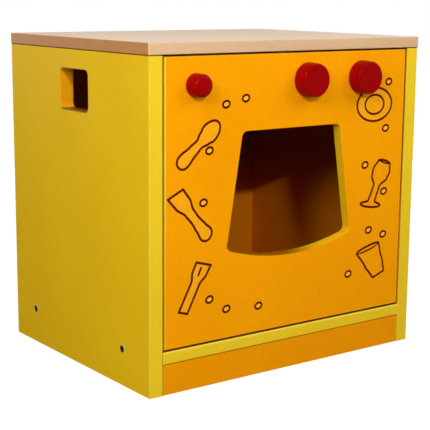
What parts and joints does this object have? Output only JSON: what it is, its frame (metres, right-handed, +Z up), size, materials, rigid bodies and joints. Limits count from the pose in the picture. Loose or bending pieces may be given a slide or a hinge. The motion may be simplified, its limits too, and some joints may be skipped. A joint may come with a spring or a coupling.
{
  "type": "toy dishwasher",
  "caption": "Toy dishwasher for a play kitchen: board cabinet with a worktop, side-hung door with an arched window, turning dials, a pull knob and carrying handholds.",
  "frame": {"origin": "on the floor, in the middle of the model's outline seen from above", "axes": "+Z up, -Y is the front where the door and the dials are, +X to the right seen from the front"},
  "size_m": [0.497, 0.415, 0.484],
  "materials": {
    "yellow_board": "yellow melamine-faced board, fine satin grain",
    "yellow_band": "yellow plastic edge band",
    "orange_band": "orange plastic edge band",
    "orange_board": "orange melamine-faced board, fine satin grain",
    "orange_hardboard": "orange coated hardboard",
    "beech_board": "beech-look laminate, pale and satin",
    "beech_band": "beech-look plastic edge band",
    "red_knob": "red, semi-gloss",
    "black_steel": "black zinc plated, satin",
    "zinc_steel": "bright zinc plated",
    "brass_insert": "turned brass",
    "black_nylon": "black moulded nylon",
    "white_nylon": "white moulded nylon",
    "grey_felt": "pressed felt",
    "magnet_ferrite": "black ferrite",
    "dowel_wood": "raw beech"
  },
  "bodies": {
    "cabinet": {"left_side_panel": "yellow_board", "right_side_panel": "yellow_board", "bottom_shelf": "yellow_board", "left_side_front_band": "yellow_band", "right_side_front_band": "yellow_band", "shelf_front_band": "yellow_band", "left_handhold_band": "orange_band", "right_handhold_band": "orange_band", "plinth_board": "orange_board", "back_panel": "orange_hardboard", "worktop": "beech_board", "worktop_edge_band": "beech_band", "lower_pivot_plate": "black_steel", "upper_pivot_plate": "black_steel", "pivot_plate_screws": "black_steel", "confirmat_screws": "black_steel", "catch_pole_plates": "zinc_steel", "catch_screws": "zinc_steel", "worktop_brackets": "zinc_steel", "worktop_bracket_screws": "zinc_steel", "back_panel_screws": "zinc_steel", "magnetic_catch_housing": "white_nylon", "catch_magnet": "magnet_ferrite", "shelf_dowels": "dowel_wood", "plinth_dowels": "dowel_wood", "worktop_dowels": "dowel_wood"},
    "door": {"door_board": "orange_board", "door_edge_band": "yellow_band", "window_edge_band": "yellow_band", "lower_pivot_bush": "black_nylon", "upper_pivot_bush": "black_nylon", "dial_bushes": "white_nylon", "pull_knob": "red_knob", "pull_knob_insert": "brass_insert", "pull_knob_washer": "zinc_steel", "pull_knob_screw": "zinc_steel", "strike_plate": "zinc_steel", "strike_plate_screws": "zinc_steel"},
    "dial_left": {"dial_knob_left": "red_knob", "dial_felt_disc_left": "grey_felt", "dial_insert_left": "brass_insert", "dial_washer_left": "zinc_steel", "dial_screw_left": "zinc_steel"},
    "dial_right": {"dial_knob_right": "red_knob", "dial_felt_disc_right": "grey_felt", "dial_insert_right": "brass_insert", "dial_washer_right": "zinc_steel", "dial_screw_right": "zinc_steel"}
  },
  "joints": [
    {"name": "door_hinge", "type": "hinge", "parent": "cabinet", "child": "door", "pos_m": [0.208, -0.1775, 0.265], "axis": [0, 0, 1], "range_deg": [0, 120]},
    {"name": "dial_left_turn", "type": "hinge", "parent": "door", "child": "dial_left", "pos_m": [0.0255, -0.1865, 0.4265], "axis": [0, 1, 0], "continuous": true},
    {"name": "dial_right_turn", "type": "hinge", "parent": "door", "child": "dial_right", "pos_m": [0.13, -0.1865, 0.4265], "axis": [0, 1, 0], "continuous": true}
  ]
}
